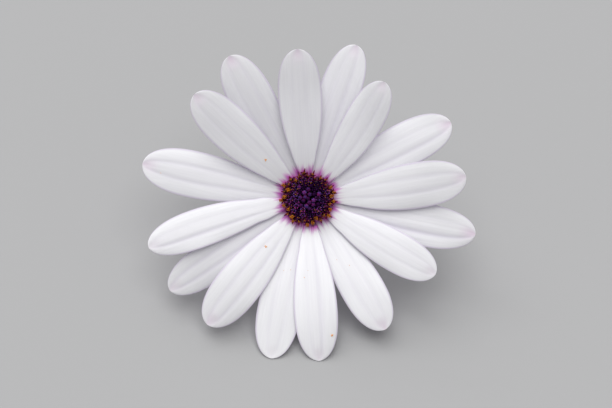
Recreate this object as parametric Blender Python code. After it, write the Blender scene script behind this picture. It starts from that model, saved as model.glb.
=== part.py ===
"""A white cape daisy, cut and laid down: the head leans back on two petal tips and the curved stalk.

Everything of the head is modelled about the head's own axis: +Z looks out of the face and a
bearing of 90 degrees is the top of the face. Lengths are in millimetres until a mesh is made.
"""
import math

import bmesh
import bpy
from mathutils import Vector

MM = 0.001

# How the cut flower lies
FACE_ELEVATION = 50      # degrees that the face looks up from the level
HEAD_SPIN = 4.5          # degrees that the head is turned on its stalk

# Petals: two layers that alternate, the odd ones in front
PETAL_ROOT = 4.5         # radius where the claws start
PETAL_THICKNESS = 0.35
BACK_ROOT_Z = -1.9       # height of the back layer's claws
FRONT_ROOT_Z = -1.25     # height of the front layer's claws
LAYER_SPREAD = 0.45      # how much further apart the layers are past the claws
SPREAD_OVER = 5.0        # length over which they part
WIDEST_AT = 0.69         # share of the reach where a petal is widest
BASE_TAPER = 1.4         # how fast it narrows towards the claw
CLAW_ANGLE = 28          # degrees of the circle that a claw fills until the blade is wider
TIP_POWER = 2.5          # 2 is an elliptical tip, more is blunter
GROOVE_AT = 1 / 3        # share of the half width where the two grooves run
GROOVE_DEPTH = 0.22
FRONT_CAMBER = 0.45      # how far the edges curve back
BACK_CAMBER = 0.2
PETAL_ROWS = 12
PETAL_COLUMNS = 6

# bearing and sweep (degrees), reach, width, rise at the tip, arch of the rise, curl of the tip (mm).
# An arch of 0 is a straight rise, and one of 1 starts twice as steep and is level at the tip.
PETALS = [
    (95, -1, 32.3, 9.4, 8.5, 0.3, -0.5),
    (76, -3.8, 35.1, 8.9, 5.3, 0.6, -0.3),
    (50, 7, 30.1, 8.2, 8.0, 0.4, -0.6),
    (31, -3.1, 35.4, 9.6, 4.4, 0.8, -0.5),
    (5, 3, 34.8, 9.9, 4.4, 0.8, -0.7),
    (-14, 2, 37.5, 9.4, 3.7, 0.8, -0.5),
    (-32, 1.4, 32.3, 8.7, 4.9, 0.8, -0.9),
    (-58, -1.3, 33.2, 9.4, 4.8, 0.9, -0.8),
    (-86, 0, 35.4, 9.4, 5.0, 0.9, -0.9),
    (-107, 4, 35.7, 9.5, 5.1, 0.9, 0.4),
    (-129, 0.5, 35.1, 9.9, 4.9, 0.8, -0.5),
    (-148, 1.5, 36.3, 8.9, 3.6, 0.8, -0.4),
    (-168, 5, 36.3, 8.4, 4.6, 0.8, -0.6),
    (168, 0, 37.0, 10.2, 4.0, 0.7, -0.5),
    (139, -1.5, 33.3, 9.5, 8.0, 0.3, -0.6),
    (120, -1, 35.5, 9.8, 5.8, 0.5, -0.5),
]

# Disc florets: a bud in the middle and rings of beads round it
FLORET_PITCH = 1.3       # from one ring to the next
FLORET_RADIUS = 0.5
FLORET_STEPS = 4         # steps round one bead
FLORET_PROFILE = [(-0.8, 0), (0.8, 0), (1, 0.65), (0.5, 1), (-0.5, 1), (-1, 0.65)]
FLORET_NECK = 0.7        # a bead's size where it meets the next, as a share of its middle
FLORET_RINGS = [6, 12, 18, 24]
RING_BASE_Z = [-0.35, -0.55, -0.85, -0.3]
RING_TOP_Z = [2.5, 2.3, 2.0, 1.5]
RING_LEAN = [0.0, 0.12, 0.25, 0.42]
BUD_BASE_Z = -0.1
BUD_TOP_Z = 2.6

# Stalk and the receptacle that it swells into: height behind the face, radius
STEM_RADIUS = 1.2
STEM_END_Y = 62.0        # cut end's distance behind the head's centre
STEM_SIDE = -5.0         # how far the cut end lies to one side
STEM_STEPS = 16          # steps along the bend
LEVEL_STEPS = 8          # steps along the level stretch
STALK_RESOLUTION = 6     # of the round section: 16 sides
NECK_Z = -9.0
RECEPTACLE = [
    (-9.0, 1.25), (-8.2, 1.5), (-7.5, 2.1), (-6.8, 2.9), (-6.0, 3.7), (-5.2, 4.3), (-4.2, 4.75),
    (-3.2, 4.95), (-2.45, 5.0), (-2.4, 4.2), (-1.5, 4.15), (-1.2, 3.6), (-0.95, 2.4), (-0.8, 1.0),
]

# Bracts behind the petals: distance from the axis, height, share of the full width
BRACTS = 13
BRACT_WIDTH = 2.1
BRACT_THICKNESS = 0.4
BRACT_PATH = [
    (2.75, -7.45, 0.45), (3.55, -6.75, 0.62), (4.3, -6.0, 0.8), (4.95, -5.1, 0.93), (5.35, -4.1, 1.0),
    (5.7, -3.3, 1.0), (6.5, -2.85, 0.95), (7.7, -2.6, 0.75), (9.0, -2.45, 0.4), (9.9, -2.4, 0.08),
]


def clear_scene():
    for obj in list(bpy.data.objects):
        bpy.data.objects.remove(obj)


def material(name, colour, roughness):
    found = bpy.data.materials.get(name)
    if found:
        return found
    made = bpy.data.materials.new(name)
    made.use_nodes = True
    shader = made.node_tree.nodes["Principled BSDF"]
    shader.inputs["Base Color"].default_value = (*colour, 1)
    shader.inputs["Roughness"].default_value = roughness
    shader.inputs["Metallic"].default_value = 0
    return made


def petal_white():
    return material("petal_white", (0.86, 0.85, 0.9), 0.55)


def floret_purple():
    return material("floret_purple", (0.07, 0.02, 0.1), 0.5)


def bract_green():
    return material("bract_green", (0.16, 0.26, 0.07), 0.6)


def stalk_green():
    return material("stalk_green", (0.2, 0.3, 0.09), 0.6)


def empty(name, parent=None):
    made = bpy.data.objects.new(name, None)
    made.parent = parent
    bpy.context.scene.collection.objects.link(made)
    return made


def put(name, data, parent, finish):
    made = bpy.data.objects.new(name, data)
    made.parent = parent
    data.materials.append(finish)
    bpy.context.scene.collection.objects.link(made)
    return made


def sheet_mesh(name, rows):
    """A sheet through rows of points. A last row of one point closes the sheet as a fan."""
    mesh = bpy.data.meshes.new(name)
    bm = bmesh.new()
    lines = [[bm.verts.new(Vector(point) * MM) for point in row] for row in rows]
    for near, far in zip(lines, lines[1:]):
        for i in range(len(near) - 1):
            if len(far) == 1:
                bm.faces.new((near[i], near[i + 1], far[0]))
            else:
                bm.faces.new((near[i], near[i + 1], far[i + 1], far[i]))
    bmesh.ops.triangulate(bm, faces=bm.faces)
    bm.to_mesh(mesh)
    bm.free()
    mesh.shade_smooth()
    return mesh


def thicken(obj, thickness):
    solid = obj.modifiers.new("thickness", "SOLIDIFY")
    solid.thickness = thickness * MM
    solid.offset = 0
    solid.use_even_offset = False


def ramp(x):
    """Smooth step from 0 to 1."""
    x = min(max(x, 0), 1)
    return x * x * (3 - 2 * x)


def half_width(r, reach, width):
    """Half the petal's width at radius r: a wedge at the claw, then the blade, then a round tip."""
    x = r / reach
    if x < WIDEST_AT:
        blade = 1 - BASE_TAPER * (1 - x / WIDEST_AT) ** 2
    else:
        blade = math.sqrt(max(1 - ((x - WIDEST_AT) / (1 - WIDEST_AT)) ** TIP_POWER, 0))
    claw = r * math.tan(math.radians(CLAW_ANGLE / 2))
    return max(blade * width / 2, claw if x < WIDEST_AT / 2 else 0)


def petal_rows(sweep, reach, width, rise, arch, curl, front):
    """The petal's middle surface, with +Y along its bearing."""
    root_z = FRONT_ROOT_Z if front else BACK_ROOT_Z
    spread = LAYER_SPREAD if front else 0
    camber = FRONT_CAMBER if front else BACK_CAMBER
    turn = math.radians(sweep)
    length = reach - PETAL_ROOT
    rows = []
    for i in range(PETAL_ROWS + 1):
        s = math.sin(math.pi / 2 * i / PETAL_ROWS) ** 1.15
        r = PETAL_ROOT + length * s
        bearing = turn * s
        heading = bearing + math.atan(r * turn / length)
        half = half_width(r, reach, width)
        share = 2 * half / width
        z = root_z + spread * ramp((r - PETAL_ROOT) / SPREAD_OVER)
        z += rise * ((1 + arch) * s - arch * s * s) + curl * s ** 6
        middle = Vector((-r * math.sin(bearing), r * math.cos(bearing), z))
        if i == PETAL_ROWS:
            rows.append([middle])
            continue
        across = Vector((math.cos(heading), math.sin(heading), 0))
        row = []
        for j in range(PETAL_COLUMNS + 1):
            t = 2 * j / PETAL_COLUMNS - 1
            groove = GROOVE_DEPTH if abs(abs(t) - GROOVE_AT) < 0.01 else 0
            sag = camber * t * t * share ** 2 + groove * share * min(1, 4 * (1 - s))
            row.append(middle + across * (t * half) - Vector((0, 0, sag)))
        rows.append(row)
    return rows


def build_petals(head):
    for number, (bearing, *shape) in enumerate(PETALS, start=1):
        name = f"petal_{number:02d}"
        mesh = sheet_mesh(name, petal_rows(*shape, front=number % 2 == 1))
        petal = put(name, mesh, head, petal_white())
        petal.rotation_euler.z = math.radians(bearing + HEAD_SPIN - 90)
        thicken(petal, PETAL_THICKNESS)


def bract_rows():
    """A bract's middle surface: the path behind the petals, carried across its own width."""
    rows = []
    for y, z, share in BRACT_PATH:
        half = share * BRACT_WIDTH / 2
        wrap = half * half / (2 * max(y, half)) * 0.6
        rows.append([(-half, y - wrap, z), (0, y, z), (half, y - wrap, z)])
    return rows


def build_bracts(head):
    for number in range(BRACTS):
        name = f"bract_{number + 1:02d}"
        bract = put(name, sheet_mesh(name, bract_rows()), head, bract_green())
        bract.rotation_euler.z = 2 * math.pi * (number + 0.5) / BRACTS
        thicken(bract, BRACT_THICKNESS)


def bead_ring(name, count, radius, base_z, top_z, lean):
    """A ring of joined beads: an upright profile that swells and shrinks round the circle."""
    bm = bmesh.new()
    loops = []
    for i in range(count * FLORET_STEPS):
        angle = 2 * math.pi * i / (count * FLORET_STEPS)
        size = FLORET_NECK + (1 - FLORET_NECK) * math.cos(count * angle / 2) ** 2
        loop = []
        for side, up in FLORET_PROFILE:
            r = radius + lean * up + FLORET_RADIUS * size * side
            z = base_z + (top_z - base_z) * up * size
            loop.append(bm.verts.new(Vector((r * math.cos(angle), r * math.sin(angle), z)) * MM))
        loops.append(loop)
    for near, far in zip(loops, loops[1:] + loops[:1]):
        for j in range(len(near)):
            bm.faces.new((near[j - 1], far[j - 1], far[j], near[j]))
    bmesh.ops.recalc_face_normals(bm, faces=bm.faces)
    bmesh.ops.triangulate(bm, faces=bm.faces)
    mesh = bpy.data.meshes.new(name)
    bm.to_mesh(mesh)
    bm.free()
    mesh.shade_smooth()
    return mesh


def build_florets(head):
    bm = bmesh.new()
    bmesh.ops.create_uvsphere(bm, u_segments=10, v_segments=6, radius=FLORET_RADIUS * MM)
    bmesh.ops.scale(bm, vec=(1, 1, (BUD_TOP_Z - BUD_BASE_Z) / 2 / FLORET_RADIUS), verts=bm.verts)
    mesh = bpy.data.meshes.new("floret_bud")
    bm.to_mesh(mesh)
    bm.free()
    bud = put("floret_bud", mesh, head, floret_purple())
    bud.location.z = (BUD_BASE_Z + BUD_TOP_Z) / 2 * MM
    for number, count in enumerate(FLORET_RINGS):
        name = f"floret_ring_{number + 1}"
        radius = FLORET_PITCH * (number + 1)
        mesh = bead_ring(name, count, radius, RING_BASE_Z[number], RING_TOP_Z[number], RING_LEAN[number])
        put(name, mesh, head, floret_purple())


def stalk_path(floor_z):
    """Points and radii from the receptacle's top, straight back, round the bend and along the floor."""
    rise = math.radians(FACE_ELEVATION)
    back = Vector((0, math.cos(rise), -math.sin(rise)))
    points = [(back * -z, radius) for z, radius in reversed(RECEPTACLE)]
    neck = back * -NECK_Z
    bend = (neck.z - floor_z - STEM_RADIUS) / (1 - math.cos(rise))
    for i in range(1, STEM_STEPS + 1):
        turned = rise * i / STEM_STEPS
        y = neck.y + bend * (math.sin(rise) - math.sin(rise - turned))
        z = neck.z - bend * (math.cos(rise - turned) - math.cos(rise))
        points.append((Vector((0, y, z)), STEM_RADIUS))
    level = points[-1][0]
    for i in range(1, LEVEL_STEPS + 1):
        y = level.y + (STEM_END_Y - level.y) * i / LEVEL_STEPS
        points.append((Vector((0, y, level.z)), STEM_RADIUS))
    for point, radius in points:
        point.x = STEM_SIDE * ramp((point.y - neck.y) / (STEM_END_Y - neck.y))
    return points


def build_stalk(plant, floor_z):
    path = stalk_path(floor_z)
    curve = bpy.data.curves.new("stalk", "CURVE")
    curve.dimensions = "3D"
    curve.bevel_depth = MM
    curve.bevel_resolution = STALK_RESOLUTION
    curve.use_fill_caps = True
    spline = curve.splines.new("POLY")
    spline.points.add(len(path) - 1)
    for knot, (point, radius) in zip(spline.points, path):
        knot.co = (*(point * MM), 1)
        knot.radius = radius
    put("stalk", curve, plant, stalk_green())


def lowest(prefix):
    """Height of the lowest corner of the objects whose name starts with prefix, in millimetres."""
    bpy.context.view_layer.update()
    graph = bpy.context.evaluated_depsgraph_get()
    found = []
    for obj in bpy.data.objects:
        if obj.name.startswith(prefix):
            shape = obj.evaluated_get(graph)
            found += [(obj.matrix_world @ v.co).z for v in shape.to_mesh().vertices]
            shape.to_mesh_clear()
    return min(found) / MM


def set_down(plant):
    """Moves the plant so that the middle of its box's underside is at the origin."""
    bpy.context.view_layer.update()
    graph = bpy.context.evaluated_depsgraph_get()
    corners = []
    for obj in bpy.data.objects:
        if obj.type != "EMPTY":
            shape = obj.evaluated_get(graph)
            corners += [obj.matrix_world @ v.co for v in shape.to_mesh().vertices]
            shape.to_mesh_clear()
    low = [min(c[i] for c in corners) for i in range(3)]
    high = [max(c[i] for c in corners) for i in range(3)]
    plant.location = (-(low[0] + high[0]) / 2, -(low[1] + high[1]) / 2, -low[2])


def main():
    clear_scene()
    plant = empty("plant")
    head = empty("head", plant)
    head.rotation_euler.x = math.radians(90 - FACE_ELEVATION)
    build_petals(head)
    build_florets(head)
    build_bracts(head)
    build_stalk(plant, lowest("petal_"))
    set_down(plant)


main()
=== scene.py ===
"""A cut white cape daisy lying down: fine petals, disc florets, bracts and stalk round its solid model.

The head has its own axes, in millimetres: X to the right, Y to the top of the face and Z out of it,
with its zero where the petals' plane meets the head's axis. Everything of the head is worked out
there and then placed. A petal's bearing, reach, width and slope are read from its solid.
"""

import bpy
import numpy as np
from mathutils import Matrix, Vector


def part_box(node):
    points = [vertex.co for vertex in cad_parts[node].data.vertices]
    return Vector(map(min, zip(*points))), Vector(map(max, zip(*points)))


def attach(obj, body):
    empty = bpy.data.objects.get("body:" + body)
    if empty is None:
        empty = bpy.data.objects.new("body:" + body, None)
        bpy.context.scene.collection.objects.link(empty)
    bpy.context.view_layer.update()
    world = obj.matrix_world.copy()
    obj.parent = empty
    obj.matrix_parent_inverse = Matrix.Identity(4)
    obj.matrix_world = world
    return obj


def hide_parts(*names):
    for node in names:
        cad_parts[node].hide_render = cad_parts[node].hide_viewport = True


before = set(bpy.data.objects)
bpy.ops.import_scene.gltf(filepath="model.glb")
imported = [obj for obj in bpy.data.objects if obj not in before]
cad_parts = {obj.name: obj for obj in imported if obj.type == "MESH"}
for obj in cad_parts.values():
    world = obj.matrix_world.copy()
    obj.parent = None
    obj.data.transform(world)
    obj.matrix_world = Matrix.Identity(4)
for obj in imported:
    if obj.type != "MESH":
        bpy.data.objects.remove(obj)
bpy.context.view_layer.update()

MM = 0.001
FACE_ELEVATION = np.radians(50)   # how far the face looks up from the level
HEAD_SPIN = np.radians(4.5)       # how far the head is turned on its stalk
RING_BASE_Z = -0.3                # the outer floret ring's underside in the head's axes

SIN, COS = np.sin(FACE_ELEVATION), np.cos(FACE_ELEVATION)
AXES = np.array([[1, 0, 0], [0, SIN, COS], [0, -COS, SIN]])   # the head's axes in the world, as rows


# ---------------------------------------------------------------- reading the solids

def solid_points(node):
    """A CAD node's corners in the world, in metres."""
    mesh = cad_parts[node].data
    points = np.empty(len(mesh.vertices) * 3)
    mesh.vertices.foreach_get("co", points)
    return points.reshape(-1, 3)


def head_centre():
    """The head's zero in the world: the middle of the outer floret ring, taken along the head's axes."""
    ring = solid_points("floret_ring_4") @ AXES.T
    low, high = ring.min(0), ring.max(0)
    middle = [(low[0] + high[0]) / 2, (low[1] + high[1]) / 2, low[2] - RING_BASE_Z * MM]
    return np.array(middle) @ AXES


CENTRE = head_centre()


def to_head(points):
    """Points of the world, in metres, in the head's axes, in millimetres."""
    return (points - CENTRE) @ AXES.T / MM


def to_world(points):
    """Points in the head's axes, in millimetres, in the world, in metres."""
    return CENTRE + (points * MM) @ AXES


def ramp(x, low=0.0, high=1.0):
    """Smooth step of x from 0 at low to 1 at high."""
    x = np.clip((x - low) / (high - low), 0, 1)
    return x * x * (3 - 2 * x)


# ---------------------------------------------------------------- making meshes

def lofts(rings):
    """Skins through rings of shape (copies, stations, points round, 3), each closed at both ends by a
    pole in the middle of its last ring. Points run anticlockwise about the path, so faces look out."""
    copies, stations, around, _ = rings.shape
    start, end = rings[:, 0].mean(1), rings[:, -1].mean(1)
    points = np.concatenate([rings.reshape(-1, 3), start, end])
    index = np.arange(copies * stations * around).reshape(copies, stations, around)
    beside = np.roll(index, -1, axis=2)
    quads = np.stack([index[:, :-1], beside[:, :-1], beside[:, 1:], index[:, 1:]], -1).reshape(-1, 4)
    first_pole = index.size + np.arange(copies)[:, None] + np.zeros(around, int)
    last_pole = first_pole + copies
    fans = np.concatenate([
        np.stack([first_pole, beside[:, 0], index[:, 0]], -1).reshape(-1, 3),
        np.stack([last_pole, index[:, -1], beside[:, -1]], -1).reshape(-1, 3)])
    return points, quads, fans


def with_poles(values):
    """A per-point value of shape (copies, stations, points round), with the poles' values after it."""
    return np.concatenate([values.reshape(-1), values[:, 0].mean(1), values[:, -1].mean(1)])


def piece(name, parts, finish, replaced, sharp=60):
    """One object from parts of (rings, {attribute: values}, uv or None), all in the world, in metres."""
    points, corners, sizes, fields, maps, base = [], [], [], {}, [], 0
    for rings, values, uv in parts:
        skin, quads, fans = lofts(rings)
        points.append(skin)
        corners += [quads.ravel() + base, fans.ravel() + base]
        sizes += [np.full(len(quads), 4), np.full(len(fans), 3)]
        base += len(skin)
        for key, value in values.items():
            fields.setdefault(key, []).append(with_poles(np.broadcast_to(value, rings.shape[:3])))
        if uv is not None:
            maps.append(np.stack([with_poles(uv[..., 0]), with_poles(uv[..., 1])], -1))
    points, corners, sizes = np.concatenate(points), np.concatenate(corners), np.concatenate(sizes)
    mesh = bpy.data.meshes.new(name)
    mesh.vertices.add(len(points))
    mesh.vertices.foreach_set("co", points.ravel())
    mesh.loops.add(len(corners))
    mesh.loops.foreach_set("vertex_index", corners)
    mesh.polygons.add(len(sizes))
    mesh.polygons.foreach_set("loop_start", np.cumsum(sizes) - sizes)
    mesh.update(calc_edges=True)
    for key, value in fields.items():
        mesh.attributes.new(key, "FLOAT", "POINT").data.foreach_set("value", np.concatenate(value))
    if maps:
        layer = mesh.uv_layers.new(name="surface")
        layer.data.foreach_set("uv", np.concatenate(maps)[corners].ravel())
    mesh.validate()
    mesh.shade_smooth()
    mesh.set_sharp_from_angle(angle=np.radians(sharp))
    mesh.materials.append(finish)
    made = bpy.data.objects.new(name, mesh)
    bpy.context.scene.collection.objects.link(made)
    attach(made, "root")
    if replaced:
        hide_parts(*replaced)
    return made


# ---------------------------------------------------------------- making materials

class Finish:
    """A node material: each method adds a node or two and returns what comes out, and finish joins it up."""

    def __init__(self, name):
        self.material = bpy.data.materials.new(name)
        self.material.use_nodes = True
        self.tree = self.material.node_tree
        self.shader = self.tree.nodes["Principled BSDF"]
        self.out = self.tree.nodes["Material Output"]

    def add(self, kind, inputs, output=0, **settings):
        made = self.tree.nodes.new(kind)
        for key, value in settings.items():
            setattr(made, key, value)
        for key, value in inputs.items():
            self.feed(made.inputs[key], value)
        return made.outputs[output]

    def feed(self, socket, value):
        if isinstance(value, bpy.types.NodeSocket):
            self.tree.links.new(value, socket)
        else:
            socket.default_value = value

    def attribute(self, name):
        return self.add("ShaderNodeAttribute", {}, output=2, attribute_name=name)

    def plus(self, a, b):
        return self.add("ShaderNodeMath", {0: a, 1: b}, operation="ADD")

    def times(self, a, b):
        return self.add("ShaderNodeMath", {0: a, 1: b}, operation="MULTIPLY")

    def size_of(self, a):
        return self.add("ShaderNodeMath", {0: a, 1: 0.0}, operation="ABSOLUTE")

    def step(self, value, low, high):
        """Smooth step of value, from 0 at low to 1 at high; low may be the larger."""
        return self.add("ShaderNodeMapRange", {0: value, 1: low, 2: high}, interpolation_type="SMOOTHSTEP")

    def between(self, value, low, high):
        """A value from 0 to 1 made one from low to high."""
        return self.add("ShaderNodeMapRange", {0: value, 3: low, 4: high})

    def mix(self, factor, a, b):
        """The colour that lies a share, the factor, of the way from a to b."""
        a, b = [(*c, 1) if isinstance(c, tuple) else c for c in (a, b)]
        return self.add("ShaderNodeMix", {0: factor, 6: a, 7: b}, output=2, data_type="RGBA")

    def object_points(self, scale):
        place = self.tree.nodes.new("ShaderNodeTexCoord").outputs["Object"]
        return self.add("ShaderNodeVectorMath", {0: place, 1: scale}, operation="MULTIPLY")

    def surface_points(self, scale):
        place = self.add("ShaderNodeUVMap", {}, uv_map="surface")
        return self.add("ShaderNodeVectorMath", {0: place, 1: scale}, operation="MULTIPLY")

    def noise(self, points, detail=2.0, rough=0.5):
        return self.add("ShaderNodeTexNoise", {"Vector": points, "Scale": 1.0, "Detail": detail,
                                               "Roughness": rough})

    def bump(self, height, distance, strength=1.0):
        return self.add("ShaderNodeBump", {"Height": height, "Distance": distance, "Strength": strength})

    def finish(self, colour, roughness, normal=None, translucent=0.0, **constants):
        self.feed(self.shader.inputs["Base Color"], (*colour, 1) if isinstance(colour, tuple) else colour)
        self.feed(self.shader.inputs["Roughness"], roughness)
        for key, value in constants.items():
            self.shader.inputs[key.replace("_", " ")].default_value = value
        if normal is not None:
            self.feed(self.shader.inputs["Normal"], normal)
        if translucent:
            glow = self.add("ShaderNodeBsdfTranslucent", {"Color": colour})
            both = self.add("ShaderNodeMixShader", {0: translucent, 1: self.shader.outputs[0], 2: glow})
            self.tree.links.new(both, self.out.inputs["Surface"])
        return self.material


def petal_finish():
    """White with a cool cast, darkened by painted shade petal by petal and towards the tip, a painted lilac
    shade in the grooves, a violet margin that is partly painted shade, pink at the tip and lilac on the
    back.
    The claw is magenta, palest where it ends, with an edge that veins and patches make ragged. The surface
    map runs across and along the petal, in millimetres."""
    f = Finish("petal_white")
    across, reach, groove = f.attribute("across"), f.attribute("reach"), f.attribute("groove")
    tip, under = f.attribute("tip"), f.attribute("under")
    veins = f.noise(f.surface_points((2.6, 0.10, 0)), detail=4.0, rough=0.62)
    blotch = f.noise(f.surface_points((0.22, 0.10, 0)), detail=2.0)
    vein_tone = f.step(veins, 0.35, 0.7)
    front = f.mix(vein_tone, (0.915, 0.918, 0.930), (0.950, 0.955, 0.962))
    # painted shade: each petal's face is taken towards black from its claw to its tip, the upper petals most
    front = f.mix(f.attribute("light"), (0.0, 0.0, 0.0), front)
    # painted shade: the grooves are darkened towards lilac, more where a groove is stronger
    front = f.mix(f.times(groove, 0.26), front, (0.58, 0.53, 0.66))
    # a violet margin: partly the thin margin's own colour, partly painted shade that keeps the rounded edge
    # from reading bright
    edge = f.step(f.size_of(across), 0.88, 1.0)
    front = f.mix(f.times(edge, 0.65), front, (0.56, 0.48, 0.63))
    front = f.mix(f.times(tip, 0.42), front, (0.70, 0.50, 0.66))
    back = f.mix(vein_tone, (0.66, 0.60, 0.75), (0.78, 0.74, 0.84))
    middle = f.step(f.size_of(across), 0.55, 0.1)
    back = f.mix(f.times(middle, 0.5), back, (0.48, 0.38, 0.60))
    colour = f.mix(under, front, back)
    patch = f.noise(f.surface_points((0.8, 0.12, 0)), detail=1.0)
    uneven = f.plus(f.times(veins, 2.8), f.times(patch, 4.0))
    ragged = f.plus(reach, f.plus(uneven, -3.3))                   # the reach, a little more or less
    blush = f.mix(f.step(ragged, 5.3, 5.8), (0.100, 0.006, 0.055), (0.680, 0.080, 0.580))
    blush = f.mix(f.step(ragged, 5.8, 6.6), blush, (0.700, 0.300, 0.660))
    colour = f.mix(f.times(f.step(ragged, 7.7, 6.0), 0.9), colour, blush)
    streak = f.noise(f.surface_points((2.2, 0.05, 0)), detail=1.0)
    streak = f.times(f.step(streak, 0.48, 0.66), f.step(ragged, 8.6, 6.0))
    colour = f.mix(f.times(streak, 0.6), colour, (0.520, 0.140, 0.520))
    rough = f.between(blotch, 0.42, 0.58)
    return f.finish(colour, rough, f.bump(veins, 0.00003, 0.5), translucent=0.3,
                    Specular_IOR_Level=0.35, Sheen_Weight=0.08)


def floret_finish():
    """Nearly black low down and in the creases and throats, which is painted shade of the recesses, and
    above that a drift of violet-blue and magenta, wine red on the open lobes at the rim, with paler margins.
    The anthers are dark, with orange at their crown on open florets."""
    f = Finish("floret_purple")
    rise, opened, crease = f.attribute("rise"), f.attribute("opened"), f.attribute("crease")
    anther, tint, margin = f.attribute("anther"), f.attribute("tint"), f.attribute("margin")
    grain = f.noise(f.object_points((9000, 9000, 9000)))
    ripe = f.step(opened, 0.45, 0.75)
    strong = f.times(tint, tint)
    redder = f.step(f.noise(f.object_points((1500, 1500, 1500)), detail=1.0), 0.42, 0.58)
    # painted shade: the nearly black colour of the recesses between the florets
    low = (0.005, 0.0002, 0.003)
    bud = f.mix(redder, (0.036, 0.022, 0.120), (0.095, 0.008, 0.075))
    bud = f.mix(strong, (0.009, 0.001, 0.020), bud)
    violet = f.mix(redder, (0.125, 0.050, 0.280), (0.290, 0.018, 0.180))
    violet = f.mix(strong, (0.034, 0.0015, 0.026), violet)
    wine = f.mix(strong, (0.028, 0.001, 0.006), (0.088, 0.005, 0.025))
    lobe = f.mix(ripe, violet, wine)
    # painted shade: low on each floret the colour goes nearly black
    colour = f.mix(f.step(rise, 0.35, 0.95), low, f.mix(f.step(opened, 0.0, 0.2), bud, lobe))
    edge = f.mix(redder, (0.280, 0.160, 0.680), (0.500, 0.090, 0.480))
    edge = f.mix(strong, (0.060, 0.012, 0.130), edge)
    edge = f.mix(ripe, edge, (0.190, 0.013, 0.080))
    colour = f.mix(f.times(margin, 0.8), colour, edge)
    # painted shade in the creases and inside the throats
    colour = f.mix(crease, colour, low)
    horn = f.times(f.step(rise, 0.6, 1.0), ripe)
    colour = f.mix(anther, colour, f.mix(horn, (0.016, 0.007, 0.030), (0.220, 0.060, 0.010)))
    rough = f.between(grain, 0.42, 0.60)
    return f.finish(colour, rough, f.bump(grain, 0.00003, 0.6), Specular_IOR_Level=0.03)


def pollen_finish():
    """Orange grains, some of them browner."""
    f = Finish("pollen_orange")
    colour = f.mix(f.attribute("tint"), (0.22, 0.048, 0.004), (0.80, 0.32, 0.012))
    grain = f.noise(f.object_points((30000, 30000, 30000)))
    return f.finish(colour, 0.62, f.bump(grain, 0.00001, 0.6), Specular_IOR_Level=0.1)


def bract_finish():
    """Green with fine nerves, a pale papery margin and a purple tip. The surface map is in millimetres."""
    f = Finish("bract_green")
    across, along = f.attribute("across"), f.attribute("along")
    nerves = f.noise(f.surface_points((6.0, 0.35, 0)), detail=3.0)
    green = f.mix(nerves, (0.060, 0.115, 0.030), (0.125, 0.190, 0.060))
    side = f.size_of(across)
    keel = f.step(side, 0.16, 0.0)
    green = f.mix(f.times(keel, 0.5), green, (0.200, 0.260, 0.100))
    green = f.mix(f.times(f.step(side, 0.72, 0.98), 0.8), green, (0.42, 0.44, 0.30))
    flush = f.times(f.step(along, 0.62, 1.0), 0.75)
    colour = f.mix(flush, green, (0.145, 0.050, 0.085))
    rough = f.between(nerves, 0.45, 0.65)
    return f.finish(colour, rough, f.bump(nerves, 0.00006, 0.6), translucent=0.1)


def stalk_finish():
    """Green with streaks along it, purple towards the head, nearly black on the receptacle under the florets
    as painted shade, pale pith at the cut.
    """
    f = Finish("stalk_green")
    along, pith, shade_under_florets = f.attribute("along"), f.attribute("pith"), f.attribute("shade_under_florets")
    streaks = f.noise(f.surface_points((3.0, 0.16, 0)), detail=4.0, rough=0.6)
    mottle = f.noise(f.surface_points((0.5, 0.10, 0)))
    green = f.mix(streaks, (0.105, 0.180, 0.045), (0.215, 0.300, 0.100))
    flush = f.times(f.step(along, 34.0, 4.0), f.step(mottle, 0.34, 0.66))
    colour = f.mix(f.times(flush, 0.7), green, (0.150, 0.060, 0.085))
    # painted shade: the receptacle's top under the florets goes nearly black
    colour = f.mix(shade_under_florets, colour, (0.020, 0.006, 0.020))
    colour = f.mix(pith, colour, (0.56, 0.60, 0.40))
    rough = f.plus(f.times(streaks, 0.25), f.times(shade_under_florets, 0.4))
    rough = f.plus(rough, 0.35)
    return f.finish(colour, rough, f.bump(streaks, 0.00008, 0.5), Specular_IOR_Level=0.3)


def hair_finish():
    """Pale green hairs that let light through."""
    f = Finish("hair_pale")
    colour = f.mix(f.attribute("along"), (0.26, 0.32, 0.16), (0.52, 0.50, 0.40))
    return f.finish(colour, 0.5, translucent=0.3)


# ---------------------------------------------------------------- petals

PETAL_ROOT = 4.5          # radius where the claws start
WIDEST_AT = 0.69
BASE_TAPER = 1.4
CLAW_ANGLE = np.radians(28)
TIP_POWER = 2.5
PETAL_STATIONS = 110
PETAL_COLUMNS = 44
PETAL_THICKNESS = 0.3
MARGIN_THICKNESS = 0.1
LOBE_HEIGHT = 0.065       # how far the three lobes across a petal swell
GROOVE_DEPTH = 0.07
GROOVE_WIDTH = 0.11       # of the half width
NERVES = (7, 10, 13, 17)  # half waves across a petal
NERVE_HEIGHT = 0.0035
TWIST_HEIGHT = 0.22       # of the ripple that lifts one margin as it lowers the other
WAVE_HEIGHT = 0.14        # of the ripple that lifts both margins
TIP_PINCH = 0.35          # how far the tip's middle is drawn in
FRONT_CAMBER = 0.3        # how far the margins lie below the middle, on the layer in front
BACK_CAMBER = 0.2
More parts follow.
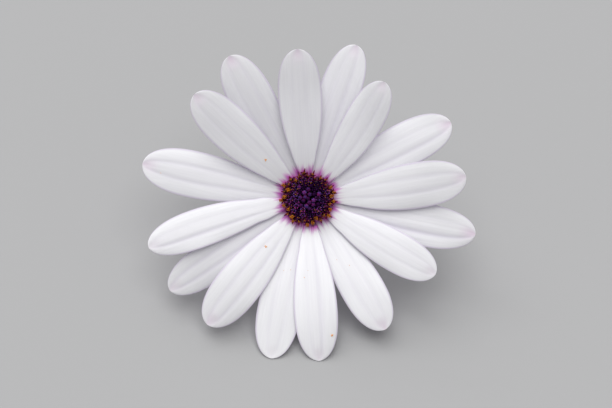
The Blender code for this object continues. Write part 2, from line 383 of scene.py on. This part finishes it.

# Left and right groove: place across (-1 to 1) and strength; how light painted shade leaves the claw and the
# tip; how pink the tip is. Petals go round clockwise from the top.
PETAL_MARKS = [
    (-0.34, 0.2, 0.32, 0.2, 0.95, 0.84, 0.9), (-0.36, 0.3, 0.30, 0.6, 0.94, 0.92, 0.8),
    (-0.30, 0.4, 0.34, 0.5, 0.96, 0.84, 0.7), (-0.33, 0.3, 0.36, 1.0, 1.00, 0.95, 1.2),
    (-0.36, 0.6, 0.30, 0.7, 0.91, 0.81, 0.8), (-0.40, 0.3, 0.38, 1.5, 1.00, 0.88, 1.3),
    (-0.33, 0.3, 0.33, 0.3, 0.96, 0.93, 0.5), (-0.33, 0.3, 0.33, 0.3, 1.00, 0.96, 0.9),
    (-0.22, 0.8, 0.36, 0.3, 1.00, 0.93, 0.5), (-0.30, 0.4, 0.34, 0.4, 0.99, 0.91, 0.2),
    (-0.34, 0.8, 0.28, 0.7, 0.95, 0.86, 0.8), (-0.30, 1.0, 0.34, 0.9, 0.97, 0.83, 0.6),
    (-0.30, 1.0, 0.36, 0.3, 1.00, 0.97, 0.4), (-0.34, 0.8, 0.33, 0.8, 0.99, 0.92, 1.0),
    (-0.34, 0.4, 0.33, 0.3, 0.88, 0.84, 0.9), (-0.36, 0.4, 0.34, 0.5, 0.82, 0.83, 1.1),
]


def read_petal(node):
    """Bearing and height of the petal's middle line as polynomials of the share s of its length, with
    its reach and half width. The bearing is a line through all corners, which lie evenly about it."""
    points = to_head(solid_points(node))
    radius = np.hypot(points[:, 0], points[:, 1])
    tip = points[radius.argmax()]
    turn = np.arctan2(tip[1], tip[0])
    bearing = np.angle(np.exp(1j * (np.arctan2(points[:, 1], points[:, 0]) - turn))) + turn
    reach = radius.max()
    s = (radius - PETAL_ROOT) / (reach - PETAL_ROOT)
    line = np.polyfit(s, bearing, 1)
    aside = radius * (bearing - np.polyval(line, s))
    near = np.abs(aside) < 0.25
    height = np.polyfit(s[near], points[near, 2], 5)
    return line, height, reach, np.abs(aside).max()


def half_width(radius, reach, half):
    """A wedge at the claw, a parabola to the widest place, then a blunt round tip; where wedge and
    parabola meet, an eighth-power sum rounds the corner."""
    x = radius / reach
    blade = np.clip(1 - BASE_TAPER * np.clip(1 - x / WIDEST_AT, 0, 1) ** 2, 0, 1)
    blade *= np.sqrt(1 - np.clip((x - WIDEST_AT) / (1 - WIDEST_AT), 0, 1) ** TIP_POWER)
    claw = radius * np.tan(CLAW_ANGLE / 2) * (1 - ramp(x, 0.25, 0.45))
    return ((blade * half) ** 8 + claw ** 8) ** 0.125


def lobes(t, left, right):
    """Three parabolas side by side: zero at both margins and both grooves, one in the middle of each."""
    x = np.interp(t, [-1, left, right, 1], [0, 1, 2, 3]) % 1
    return 4 * x * (1 - x)


def petal_relief(s, t, marks, rng):
    """How far a petal's faces are lifted at s along and t across, and how deep its grooves are there:
    three lobes between two grooves, fine nerves, a pinch at the tip and a slow ripple, most at the
    margins, which is two sines along the petal."""
    left, left_depth, right, right_depth = marks
    fade = ramp(s, 0.02, 0.3) * (1 - 0.55 * ramp(s, 0.88, 1))
    nearest = np.where(t < 0, left_depth, right_depth)
    swell = LOBE_HEIGHT * (0.3 + 0.8 * nearest) * lobes(t, left, right)
    cut_left = left_depth * np.exp(-((t - left) / GROOVE_WIDTH) ** 2)
    cut_right = right_depth * np.exp(-((t - right) / GROOVE_WIDTH) ** 2)
    groove = (cut_left + cut_right) * fade
    nerves = sum(NERVE_HEIGHT * np.sin(np.pi * n * t + rng.uniform(0, 6.3)) for n in NERVES)
    twist = t ** 3 * TWIST_HEIGHT * np.sin(2 * np.pi * s * rng.uniform(0.8, 1.5) + rng.uniform(0, 6.3))
    wave = t ** 2 * WAVE_HEIGHT * np.sin(2 * np.pi * s * rng.uniform(1.2, 2.2) + rng.uniform(0, 6.3))
    pinch = TIP_PINCH * np.exp(-(t / 0.4) ** 2) * ramp(s, 0.9, 1)
    ripple = (twist + wave) * ramp(s, 0.25, 0.8)
    return (swell + nerves) * fade - GROOVE_DEPTH * groove - pinch + ripple, groove


def petal(number, seed):
    """The middle line carries a lens-shaped section, lifted by the relief and lowered at the margins by
    the camber, which is a parabola across."""
    rng = np.random.default_rng(seed)
    node = f"petal_{number:02d}"
    line, height, reach, half = read_petal(node)
    front = number % 2 == 1
    camber = FRONT_CAMBER if front else BACK_CAMBER
    *grooves, claw_painted_shading, tip_painted_shading, pink = PETAL_MARKS[number - 1]
    s = np.sin(np.linspace(0.0, np.pi / 2, PETAL_STATIONS + 1)[:-1])[:, None] ** 1.1
    t = np.sin(np.linspace(-np.pi / 2, np.pi / 2, PETAL_COLUMNS + 1))
    t = np.concatenate([t, t[-2:0:-1]])[None, :]
    under = np.concatenate([np.zeros(PETAL_COLUMNS + 1), np.ones(PETAL_COLUMNS - 1)])[None, :]
    radius = PETAL_ROOT + (reach - PETAL_ROOT) * s
    wide = half_width(radius, reach, half)
    share = wide / half
    bearing = np.polyval(line, s)
    heading = bearing + np.arctan(radius * line[0] / (reach - PETAL_ROOT))
    z = np.polyval(height, s)
    slope = np.polyval(np.polyder(height), s) / (reach - PETAL_ROOT)
    tilt = np.arctan(slope)
    across = np.stack([np.sin(heading), -np.cos(heading), 0 * s], -1)
    outward = np.stack([-np.sin(tilt) * np.cos(heading), -np.sin(tilt) * np.sin(heading), np.cos(tilt)], -1)
    middle = np.stack([radius * np.cos(bearing), radius * np.sin(bearing), z], -1)

    relief, groove = petal_relief(s, t, grooves, rng)
    lens = (1 - np.abs(t) ** 8) ** 0.5
    thick = (MARGIN_THICKNESS + (PETAL_THICKNESS - MARGIN_THICKNESS) * (1 - t * t) ** 0.5) * lens
    lift = relief * share - camber * t * t * share ** 2 + thick * (0.5 - under)
    rings = middle + across * (t * wide)[..., None] + outward * lift[..., None]
    tip = pink * np.exp(-(t / 0.45) ** 2) * ramp(s, 0.86, 1.0)
    # painted shade along the petal: how light the face is kept, from the claw's value to the tip's
    light = claw_painted_shading + (tip_painted_shading - claw_painted_shading) * ramp(s, 0.3, 0.9)
    values = {"across": t, "reach": radius, "groove": groove, "under": under, "tip": tip, "light": light}
    uv = np.stack(np.broadcast_arrays(t * wide + 20 * number, radius), -1)
    values = {key: np.broadcast_to(value, rings.shape[:2])[None] for key, value in values.items()}
    part = (to_world(rings)[None], values, uv[None])
    return piece(f"ray_petal_{number:02d}", [part], PETAL_WHITE, [node])


PETAL_WHITE = petal_finish()
PETALS = [petal(number, seed=100 + number) for number in range(1, 17)]


# ---------------------------------------------------------------- florets and pollen

FLORETS = 91
FLORET_SPACING = 0.622     # floret number i stands at this times the root of i from the axis
GOLDEN_ANGLE = np.radians(137.508)
SPIRAL_START = np.radians(20)
FLORET_LOBES = 5
DOME_TOP = 2.6
RIM = 5.2                 # radius
DOME_DROP = 1.1           # how much lower the florets' tops are there
RIM_LEAN = 0.55           # radians that they lean out there
FIRST_OPENING = 12        # from here on florets start to open, but every third is shut to SHUT_AMONG
SHUT_AMONG = 30
FIRST_OPEN = 56           # from here on they are open and shed pollen
FLORET_GROUPS = [("bud", 0, 1), ("ring_1", 1, 11), ("ring_2", 11, 30), ("ring_3", 30, 58),
                 ("ring_4", 58, FLORETS)]
TUBE_LENGTH = 3.1
AROUND_TUBE = 10          # points round a tube or a column of anthers
AROUND_BUD = 40
RANKS = np.arange(FLORETS)
CHANCE = np.random.default_rng(61).uniform(0, 1, (3, FLORETS))
TINT = CHANCE[0]          # how light a floret's colours are
OPENNESS = np.where(RANKS < FIRST_OPEN, 0.08 + 0.45 * CHANCE[1], 0.75 + 0.25 * CHANCE[1])
SHUT = (RANKS < FIRST_OPENING) | ((RANKS < SHUT_AMONG) & (RANKS % 3 == 0))


def floret_axes(ranks):
    """Tops and own axes of florets on a golden-angle spiral over a shallow dome, leaning out with a
    power of their radius, none quite level or in line: outward, sideways and along the floret."""
    radius = FLORET_SPACING * np.sqrt(ranks)
    bearing = SPIRAL_START + GOLDEN_ANGLE * ranks
    lean = RIM_LEAN * (radius / RIM) ** 1.3 + 0.16 * np.sin(5.1 * ranks)
    zero = 0 * radius
    out = np.stack([np.cos(bearing), np.sin(bearing), zero], -1)
    up = np.stack([zero, zero, zero + 1], -1)
    level = DOME_TOP - DOME_DROP * (radius / RIM) ** 2 - 0.16 * (1 + np.sin(2.7 * ranks))
    top = radius[:, None] * out + level[:, None] * up
    lean = lean[:, None]
    return (top, np.cos(lean) * out - np.sin(lean) * up, np.cross(up, out),
            np.sin(lean) * out + np.cos(lean) * up, radius)


def rings_about(top, out, side, along, radii, depths, around):
    """Rings of (florets, stations, around) about each floret's axis, radii wide and depths below the top."""
    angle = 2 * np.pi * np.arange(around) / around
    radii = np.broadcast_to(radii, (len(top), radii.shape[-2], around))
    depths = np.broadcast_to(depths, radii.shape)
    return (top[:, None, None] - depths[..., None] * along[:, None, None]
            + (radii * np.cos(angle))[..., None] * out[:, None, None]
            + (radii * np.sin(angle))[..., None] * side[:, None, None])


def closed_florets(ranks):
    """Clubs with a round top that five creases cut, each between two pale margins, on a narrow neck.
    The crease is a power of a cosine round the club."""
    top, out, side, along, radius = floret_axes(ranks)
    tint = TINT[ranks]
    wave = 0.5 + 0.5 * np.cos(FLORET_LOBES * 2 * np.pi * np.arange(AROUND_BUD) / AROUND_BUD)
    share = np.linspace(1, 0, 15) ** 1.7
    depth = (share * (TUBE_LENGTH + 0.4))[:, None]
    girth = (0.47 + 0.05 * ramp(radius, 0, 2.6) + 0.08 * (tint - 0.5))[:, None, None]
    head = 1 - (1 - np.clip(depth / 0.75, 0, 1)) ** 2.4
    fade = ramp(depth, 0.75, 0.3)
    radii = (girth * head - 0.16 * ramp(depth, 0.6, 1.6)) * (1 - 0.32 * wave ** 3 * fade) + 0.02
    rings = rings_about(top, out, side, along, radii, depth, AROUND_BUD)
    # rise and crease feed the finish's painted shade: low parts and the five creases go nearly black
    values = {"rise": 1 - np.clip(depth / 1.2, 0, 1), "opened": 0.12 * ramp(depth, 0.04, 0.22),
              "crease": wave ** 4 * fade, "anther": 0.0, "tint": tint[:, None, None],
              "margin": 0.6 * np.exp(-((wave - 0.6) / 0.2) ** 2) * fade}
    return to_world(rings), values, None


def pollen_load(ranks):
    """How much pollen a floret carries, from 0 to 1: most at the left, right and lower rim."""
    top, _, _, _, radius = floret_axes(ranks)
    bearing = np.arctan2(top[:, 1], top[:, 0])
    share = 0.35 + 0.65 * np.cos(bearing) ** 2 - 0.2 * np.sin(bearing)
    return share * ramp(radius, 4.0, 4.8) * CHANCE[2, ranks] ** 1.5


def anther_column(ranks, share):
    """The place at a share of the length of each floret's column of anthers, and its section's two axes
    there. The column is an arc out of the throat, nearly straight in the middle of the head; at the rim
    it stands out of the floret and bends outward."""
    top, out, side, along, radius = floret_axes(ranks)
    ripe = np.where(ranks < FIRST_OPEN, 0.0, 1.0)
    sunk = 0.61 + 0.3 * OPENNESS[ranks]
    length = (sunk + ripe * (0.05 + 0.7 * pollen_load(ranks)))[:, None]
    bend = (0.01 + 0.6 * ripe * ramp(radius, 4.2, 5.2))[:, None]
    turn = bend * share[:, None]
    place = top - sunk[:, None] * along + length / bend * (np.sin(turn) * along + (1 - np.cos(turn)) * out)
    return place, np.cos(turn) * out - np.sin(turn) * along, side


def throat_depth(ranks):
    """How far an open floret's throat, where its lobes part, lies below its top."""
    return (0.36 + 0.3 * OPENNESS[ranks])[:, None, None]


def floret_tubes(ranks):
    """A profile turned round the floret's axis: a tube that widens to the throat and dips inside it."""
    top, out, side, along, _ = floret_axes(ranks)
    share = np.array([1.0, 0.72, 0.45, 0.2, 0.06, 0.0, 0.0, 0.0])[:, None]
    inner = np.array([0, 0, 0, 0, 0, 0, 0.16, 0.3])[:, None]
    width = np.array([0.18, 0.21, 0.27, 0.34, 0.37, 0.36, 0.3, 0.15])[:, None]
    throat = throat_depth(ranks)
    depth = throat + share * (TUBE_LENGTH - throat) + inner
    rings = rings_about(top, out, side, along, width[None], depth, AROUND_TUBE)
    # crease marks the dip inside the throat, which the finish darkens as painted shade
    values = {"opened": OPENNESS[ranks][:, None, None], "tint": TINT[ranks][:, None, None],
              "rise": 0.75 - 0.7 * share[None], "crease": (inner > 0) * 0.8, "anther": 0.0, "margin": 0.0}
    return to_world(rings), values, None


def floret_lobes(ranks, rng):
    """Five pointed blades a floret. A lobe's path turns steadily from upright to its final slope, and its
    half width is a power of the share left to the tip; lobes that point away from the head's axis are
    longer."""
    top, out, side, along, radius = floret_axes(ranks)
    openness = OPENNESS[ranks]
    count = len(ranks)
    throat = throat_depth(ranks)
    turn = 2 * np.pi * np.arange(FLORET_LOBES)[None] / FLORET_LOBES + rng.uniform(-0.4, 0.4, (count, 1))
    lobe_out = np.cos(turn)[..., None] * out[:, None] + np.sin(turn)[..., None] * side[:, None]
    lobe_side = np.cos(turn)[..., None] * side[:, None] - np.sin(turn)[..., None] * out[:, None]
    outward = np.clip(np.cos(turn), 0, 1) * ramp(radius, 4.4, 5.2)[:, None]
    length = (0.38 + 0.2 * openness[:, None] + 0.65 * outward * openness[:, None])
    length = length * rng.uniform(0.8, 1.2, (count, FLORET_LOBES))
    share = np.linspace(0, 1, 8)
    last = 1.25 - (1.4 + 0.45 * outward) * openness[:, None]
    slope = 1.35 + (last - 1.35)[..., None] * share ** 0.8
    pace = length[..., None] / (len(share) - 1)
    reach = 0.31 + np.cumsum(np.cos(slope) * pace, -1) - np.cos(slope[..., :1]) * pace
    height = np.cumsum(np.sin(slope) * pace, -1) - np.sin(slope[..., :1]) * pace - throat
    axis = along[:, None, None]
    middle = top[:, None, None] + reach[..., None] * lobe_out[:, :, None] + height[..., None] * axis
    normal = np.cos(slope)[..., None] * axis - np.sin(slope)[..., None] * lobe_out[:, :, None]
    half = 0.2 * (1 - share) ** 0.65 * (1 + 0.5 * share) + 0.012
    phi = 2 * np.pi * np.arange(6) / 6
    rings = (middle[:, :, :, None] + (half[:, None] * np.cos(phi))[..., None] * lobe_side[:, :, None, None]
             + (0.045 * np.sin(phi) - 0.06 * np.cos(phi) ** 2)[:, None] * normal[:, :, :, None])
    rings = rings.reshape(count * FLORET_LOBES, len(share), len(phi), 3)
    outward = outward.reshape(-1, 1, 1)
    opened = np.repeat(openness, FLORET_LOBES)[:, None, None]
    tint = np.repeat(TINT[ranks], FLORET_LOBES)[:, None, None]
    values = {"opened": opened, "tint": tint, "rise": 0.5 + (0.25 + 0.25 * outward) * share[:, None],
              "crease": 0.0, "anther": 0.0, "margin": np.cos(phi) ** 8 + 0.6 * outward * share[:, None]}
    return to_world(rings), values, None


def floret_anthers(ranks):
    """The column of anthers carried along its arc, with five low ribs: a cosine round the column."""
    count, share = len(ranks), np.linspace(0, 1, 10)
    place, first, second = anther_column(np.repeat(ranks, len(share)), np.tile(share, count))
    angle = 2 * np.pi * np.arange(AROUND_TUBE) / AROUND_TUBE
    width = np.array([0.11, 0.13, 0.15, 0.16, 0.165, 0.165, 0.16, 0.15, 0.12, 0.05])
    width = np.tile(width, count)[:, None] * (1 + 0.12 * np.cos(FLORET_LOBES * angle))
    rings = (place[:, None] + (width * np.cos(angle))[..., None] * first[:, None]
             + (width * np.sin(angle))[..., None] * second[:, None])
    values = {"opened": OPENNESS[ranks][:, None, None], "tint": TINT[ranks][:, None, None],
              "rise": 1 - np.abs(share - 0.8)[:, None] * 1.2, "anther": 1.0, "crease": 0.0, "margin": 0.0}
    return to_world(rings.reshape(count, len(share), AROUND_TUBE, 3)), values, None


def florets():
    """One piece of shut and open florets for each of the disc's solids."""
    rng = np.random.default_rng(17)
    for name, first, last in FLORET_GROUPS:
        ranks = RANKS[first:last]
        parts = []
        if SHUT[ranks].any():
            parts.append(closed_florets(ranks[SHUT[ranks]]))
        if not SHUT[ranks].all():
            opened = ranks[~SHUT[ranks]]
            parts += [floret_tubes(opened), floret_lobes(opened, rng), floret_anthers(opened)]
        piece(f"disc_floret_{name}", parts, FLORET_PURPLE, [f"floret_{name}"], sharp=80)


POLLEN_GRAIN = 0.072      # radius
FULL_LOAD = 110           # grains on a floret that carries all it can
DUST_GRAINS = 120         # lie further in, on the florets from DUST_FROM to DUST_TO
DUST_FROM = 20
DUST_TO = FIRST_OPEN + 20
DUST_SPREAD = (0.32, 0.32, 0.08)
# Grains that have dropped on the petals: right of and above the head's centre, as the face is seen. Round
# each of the first CLUMPED_STRAYS lie CLUMP_GRAINS more.
STRAY_GRAINS = [(-9.2, 8.5), (-9.2, -10.4), (5.3, -29.8), (-5.3, -15.7), (-3.8, -15.6), (0.0, -15.7),
                (-0.8, -17.2), (6.3, -13.4), (9.1, -14.6), (-32.2, 5.6)]
CLUMPED_STRAYS = 3
CLUMP_GRAINS = 12
CLUMP_SPREAD = 0.13


def pollen():
    """Small barrels round the columns of the open anthers, a dusting further in, and a few loose ones
    on the petals."""
    rng = np.random.default_rng(7)
    owner = np.repeat(RANKS[FIRST_OPEN:], (pollen_load(RANKS[FIRST_OPEN:]) * FULL_LOAD).astype(int))
    place, first, second = anther_column(owner, rng.uniform(0.4, 1.05, len(owner)))
    angle = rng.uniform(0, 2 * np.pi, (len(owner), 1))
    away = 0.15 + 0.14 * np.abs(rng.normal(0, 1, (len(owner), 1)))
    place = place + away * (np.cos(angle) * first + np.sin(angle) * second)
    dusted = rng.integers(DUST_FROM, DUST_TO, DUST_GRAINS)
    dust, _, _ = anther_column(dusted, np.ones(len(dusted)))
    place = np.concatenate([place, dust + rng.normal(0, 1, (len(dusted), 3)) * DUST_SPREAD])
    stray = np.array(STRAY_GRAINS)
    clumps = np.repeat(stray[:CLUMPED_STRAYS], CLUMP_GRAINS, 0)
    stray = np.concatenate([stray, clumps + rng.normal(0, CLUMP_SPREAD, clumps.shape)])
    stray = stray @ [[np.cos(HEAD_SPIN), np.sin(HEAD_SPIN)], [-np.sin(HEAD_SPIN), np.cos(HEAD_SPIN)]]
    stray = np.array([petal_surface(*spot) for spot in stray])
    place = np.concatenate([place, stray + (0, 0, POLLEN_GRAIN * 0.7)])
    size = POLLEN_GRAIN * rng.uniform(0.8, 1.25, (len(place), 1, 1))
    angle = 2 * np.pi * np.arange(6) / 6
    width = size * np.array([0.38, 0.92, 0.92, 0.38])[:, None]
    level = size * np.array([-0.92, -0.38, 0.38, 0.92])[:, None] + 0 * angle
    rings = place[:, None, None] + np.stack([width * np.cos(angle), width * np.sin(angle), level], -1)
    tint = rng.uniform(0, 0.7, (len(place), 1, 1))
    tint[-len(stray):] = 1.0
    part = (to_world(rings), {"tint": tint}, None)
    piece("pollen", [part], pollen_finish(), [])


def petal_surface(right, up):
    """The highest point of the petals over a place on the face, all in the head's axes."""
    start = to_world(np.array([right, up, 20.0]))
    hits = [made.ray_cast(Vector(start), Vector(-AXES[2])) for made in PETALS]
    return max((to_head(np.array(place)) for hit, place, _, _ in hits if hit), key=lambda place: place[2])


FLORET_PURPLE = floret_finish()
florets()
bpy.context.view_layer.update()
pollen()


# ---------------------------------------------------------------- bracts

BRACTS = 13
BRACT_HALF_WIDTH = 1.2
BRACT_RADIUS = [2.75, 3.55, 4.3, 4.95, 5.35, 5.7, 6.5, 7.7, 9.0, 9.9]      # the path of the solids
BRACT_LEVEL = [-7.45, -6.75, -6.0, -5.1, -4.1, -3.3, -2.85, -2.6, -2.45, -2.4]
BRACT_STATIONS = 48
BRACT_COLUMNS = 12
BRACT_HAIRS = 34          # on each


def bract(number, finish, hairs, rng):
    """A pointed blade along a smooth path up the receptacle and out under the petals: half width is a
    power of the share left to the tip, with a raised keel outside and thin wavy margins."""
    knots = np.concatenate([[0], np.cumsum(np.hypot(np.diff(BRACT_RADIUS), np.diff(BRACT_LEVEL)))])
    knots /= knots[-1]
    s = np.linspace(0, 1, BRACT_STATIONS)[:, None]
    out, level = np.polyfit(knots, BRACT_RADIUS, 6), np.polyfit(knots, BRACT_LEVEL, 6)
    bearing = np.pi / 2 + 2 * np.pi * (number - 0.5) / BRACTS
    radial = np.array([np.cos(bearing), np.sin(bearing), 0])
    across = np.array([np.sin(bearing), -np.cos(bearing), 0])
    t = np.sin(np.linspace(-np.pi / 2, np.pi / 2, BRACT_COLUMNS + 1))
    t = np.concatenate([t, t[-2:0:-1]])[None]
    outside = np.concatenate([np.zeros(BRACT_COLUMNS + 1), np.ones(BRACT_COLUMNS - 1)])[None]
    run, rise = np.polyval(np.polyder(out), s), np.polyval(np.polyder(level), s)
    steep = np.hypot(run, rise)
    normal = (-rise / steep)[..., None] * radial + (run / steep)[..., None] * (0, 0, 1)
    middle = np.polyval(out, s)[..., None] * radial + np.polyval(level, s)[..., None] * (0, 0, 1)
    wide = BRACT_HALF_WIDTH * (0.5 + 0.5 * ramp(s, 0, 0.3)) * (1 - s ** 3.2) ** 0.9
    wide = wide * rng.uniform(0.93, 1.04) + 0.02
    thick = (0.07 + 0.2 * (1 - t * t)) * (1 - t ** 8) ** 0.5 * (1 - 0.6 * s)
    keel = 0.16 * np.exp(-(t / 0.14) ** 2) * outside * (1 - s)
    wave = 0.05 * t * np.abs(t) * np.sin(2 * np.pi * s * rng.uniform(2, 3.5) + rng.uniform(0, 6))
    lift = wide ** 2 * t * t * 0.12 + wave + thick * (0.5 - outside) - keel
    rings = middle + across * (t * wide)[..., None] + normal * lift[..., None]
    uv = np.stack(np.broadcast_arrays(t * wide + 7 * number, 12 * s), -1)[None]
    parts = [(to_world(rings)[None], {"across": t[None], "along": s[None]}, uv)]
    piece(f"involucre_bract_{number:02d}", parts, finish, [f"bract_{number:02d}"])
    row = rng.integers(1, BRACT_STATIONS - 12, BRACT_HAIRS)
    column = rng.integers(BRACT_COLUMNS + 2, 2 * BRACT_COLUMNS, BRACT_HAIRS)
    hairs.append((rings[row, column], -normal[row, 0]))


# ---------------------------------------------------------------- stalk

NECK_Z = -9.0
STEM_RADIUS = 1.2
RECEPTACLE = [(-0.85, 1.0), (-1.0, 2.4), (-1.25, 3.6), (-1.55, 4.1), (-2.4, 4.2), (-2.55, 4.75), (-3.2, 4.9),
              (-4.2, 4.75), (-5.2, 4.3), (-6.0, 3.7), (-6.8, 2.9), (-7.5, 2.1), (-8.2, 1.55), (-9.0, 1.27)]
RIBS = 9
RIB_HEIGHT = 0.035
AROUND_STALK = 54
STALK_HAIRS = 1500
HAIR_LENGTH = (0.22, 0.5)
HAIR_RADIUS = 0.028


def stalk_line():
    """The stalk's middle line in the world, in millimetres: back from the head, round an arc to the
    floor and level to the cut, drifting sideways to the solid's own end."""
    centre = CENTRE / MM
    neck = centre + NECK_Z * AXES[2]
    bend = (neck[2] - STEM_RADIUS) / (1 - COS)
    angle = FACE_ELEVATION * np.linspace(0, 1, 60)[1:]
    arc = np.stack([0 * angle, neck[1] + bend * (SIN - np.sin(FACE_ELEVATION - angle)),
                    neck[2] - bend * (np.cos(FACE_ELEVATION - angle) - COS)], -1)
    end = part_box("stalk")[1][1] / MM
    y = np.linspace(arc[-1, 1], end, 50)[1:]
    level = np.stack([0 * y, y, 0 * y + arc[-1, 2]], -1)
    straight = centre + np.array([z for z, _ in RECEPTACLE])[:, None] * AXES[2]
    line = np.concatenate([straight, arc, level])
    solid = solid_points("stalk") / MM
    last = solid[solid[:, 1] > end - 0.01]
    line[:, 0] = centre[0] + (last[:, 0].mean() - centre[0]) * ramp((line[:, 1] - neck[1]) / (end - neck[1]))
    return line


def stalk(finish, hairs, rng):
    """The receptacle's profile and a ribbed stem carried along the middle line; ribs are a cosine round
    the stem. The cut end is a shallow cup of pith."""
    line = stalk_line()
    radius = np.concatenate([[r for _, r in RECEPTACLE], np.full(len(line) - len(RECEPTACLE), STEM_RADIUS)])
    tangent = np.gradient(line, axis=0)
    tangent /= np.linalg.norm(tangent, axis=1)[:, None]
    first = np.cross([1.0, 0, 0], tangent)
    first /= np.linalg.norm(first, axis=1)[:, None]
    second = np.cross(tangent, first)
    along = np.concatenate([[0], np.cumsum(np.linalg.norm(np.diff(line, axis=0), axis=1))])
    cut = np.array([0.93, 0.86, 0.45])[:, None]
    line = np.concatenate([line, line[-1] - np.array([0, 0.0, 0.12])[:, None] * tangent[-1]])
    radius = np.concatenate([radius[:, None], cut * radius[-1]])
    along = np.concatenate([along, along[-1] + np.array([0.1, 0.2, 0.6])])[:, None]
    first, second, tangent = (np.concatenate([v, np.repeat(v[-1:], 3, 0)]) for v in (first, second, tangent))
    angle = 2 * np.pi * np.arange(AROUND_STALK)[None] / AROUND_STALK
    below = ramp(along, 6, 12)
    ribbed = below * RIB_HEIGHT * np.cos(RIBS * angle + 0.02 * along)
    swell = 1 - RIB_HEIGHT * below + 0.012 * np.sin(along * 0.35) * below
    girth = radius * (swell + ribbed)
    rings = (line[:, None] + (girth * np.cos(angle))[..., None] * first[:, None]
             + (girth * np.sin(angle))[..., None] * second[:, None])
    end = len(line) - 3
    pith = np.where(np.arange(len(line)) >= end, 1.0, 0.0)[:, None]
    # painted shade on the receptacle's top, where it lies under the florets
    values = {"along": along[None], "pith": pith[None], "shade_under_florets": ramp(along, 2.2, 1.0)[None]}
    uv = np.stack(np.broadcast_arrays(STEM_RADIUS * angle, along), -1)[None]
    piece("flower_stalk", [(rings[None] * MM, values, uv)], finish, ["stalk"])
    row = rng.integers(len(RECEPTACLE), end - 1, STALK_HAIRS)
    column = rng.integers(0, AROUND_STALK, STALK_HAIRS)
    turn = angle[0, column][:, None]
    outward = np.cos(turn) * first[row] + np.sin(turn) * second[row]
    hairs.append((to_head(rings[row, column] * MM), outward @ AXES.T))


def fine_hairs(hairs, rng):
    """Three-sided spikes on the stalk and the bracts, a little bent from upright; none reaches the floor."""
    root, outward = (np.concatenate(v) for v in zip(*hairs))
    lean = outward + rng.normal(0, 0.25, outward.shape)
    lean /= np.linalg.norm(lean, axis=1)[:, None]
    length = rng.uniform(*HAIR_LENGTH, (len(root), 1))
    world_tip = to_world(root + lean * length)
    clear = world_tip[:, 2] > 0.1 * MM
    root, lean, length = root[clear], lean[clear], length[clear]
    first = np.cross(lean, [0.3, 0.5, 0.8])
    first /= np.linalg.norm(first, axis=1)[:, None]
    second = np.cross(lean, first)
    share = np.array([0, 0.5, 1.0])
    angle = 2 * np.pi * np.arange(3) / 3
    width = HAIR_RADIUS * (1 - 0.9 * share)
    middle = root[:, None] + (share - 0.1)[None, :, None] * (length * lean)[:, None]
    rings = (middle[:, :, None] + (width[:, None] * np.cos(angle))[None, ..., None] * first[:, None, None]
             + (width[:, None] * np.sin(angle))[None, ..., None] * second[:, None, None])
    part = (to_world(rings), {"along": share[:, None]}, None)
    piece("fine_hairs", [part], hair_finish(), [])


hairs, hair_rng = [], np.random.default_rng(13)
bract_green = bract_finish()
for number in range(1, BRACTS + 1):
    bract(number, bract_green, hairs, hair_rng)
stalk(stalk_finish(), hairs, hair_rng)
fine_hairs(hairs, hair_rng)


# ---------------------------------------------------------------- camera, light and floor

CAMERA_LENS = 100.0       # millimetres, on a sensor 36 wide
SENSOR = 36.0
VIEW_WIDTH = 134.6        # what the view spans at the petals' plane
AIM = (-0.42, -1.17)      # the view's centre from the head's, to the right and up
FLOOR_HALF = 6.0          # metres
SKY_STRENGTH = 0.40
LIGHT_SPREAD = 50         # degrees


def camera():
    """On the head's axis, turned with the head, at the distance where the view spans VIEW_WIDTH."""
    right = np.cos(HEAD_SPIN) * AXES[0] + np.sin(HEAD_SPIN) * AXES[1]
    up = np.cos(HEAD_SPIN) * AXES[1] - np.sin(HEAD_SPIN) * AXES[0]
    away = VIEW_WIDTH * CAMERA_LENS / SENSOR
    place = CENTRE + MM * (AIM[0] * right + AIM[1] * up + away * AXES[2])
    data = bpy.data.cameras.new("camera")
    data.lens = CAMERA_LENS
    data.sensor_width = SENSOR
    data.clip_start = 0.01
    made = bpy.data.objects.new("camera", data)
    facing = Matrix(np.stack([right, up, AXES[2]], 1).tolist()).to_4x4()
    made.matrix_world = Matrix.Translation(place) @ facing
    bpy.context.scene.collection.objects.link(made)
    bpy.context.scene.camera = made


def soft_light(name, tilt, bearing, strength):
    """A distant lamp, as wide as LIGHT_SPREAD, so many degrees away from the head's axis, on a bearing
    round it, that lights everything alike."""
    tilt, bearing = np.radians(tilt), np.radians(bearing)
    towards = np.array([np.sin(tilt) * np.cos(bearing), np.sin(tilt) * np.sin(bearing), np.cos(tilt)]) @ AXES
    data = bpy.data.lights.new(name, "SUN")
    data.angle = np.radians(LIGHT_SPREAD)
    data.energy = strength
    made = bpy.data.objects.new(name, data)
    made.rotation_euler = Vector(towards).to_track_quat("Z", "Y").to_euler()
    made.location = CENTRE + towards
    bpy.context.scene.collection.objects.link(made)


def floor():
    """A plain pale square on the level that the flower lies on."""
    mesh = bpy.data.meshes.new("floor")
    corners = [(-FLOOR_HALF, -FLOOR_HALF, 0), (FLOOR_HALF, -FLOOR_HALF, 0),
               (FLOOR_HALF, FLOOR_HALF, 0), (-FLOOR_HALF, FLOOR_HALF, 0)]
    mesh.from_pydata(corners, [], [(0, 1, 2, 3)])
    f = Finish("floor_grey")
    mesh.materials.append(f.finish((0.30, 0.30, 0.304), 0.85))
    made = bpy.data.objects.new("floor", mesh)
    bpy.context.scene.collection.objects.link(made)


def sky():
    """An even white light from all round."""
    world = bpy.data.worlds.new("studio")
    bpy.context.scene.world = world
    world.use_nodes = True
    background = world.node_tree.nodes["Background"]
    background.inputs["Color"].default_value = (1, 1, 1, 1)
    background.inputs["Strength"].default_value = SKY_STRENGTH


camera()
soft_light("key", 73, 110, 2.1)
soft_light("front", 29, 90, 2.0)
sky()
floor()
bpy.context.scene.view_settings.view_transform = "Standard"
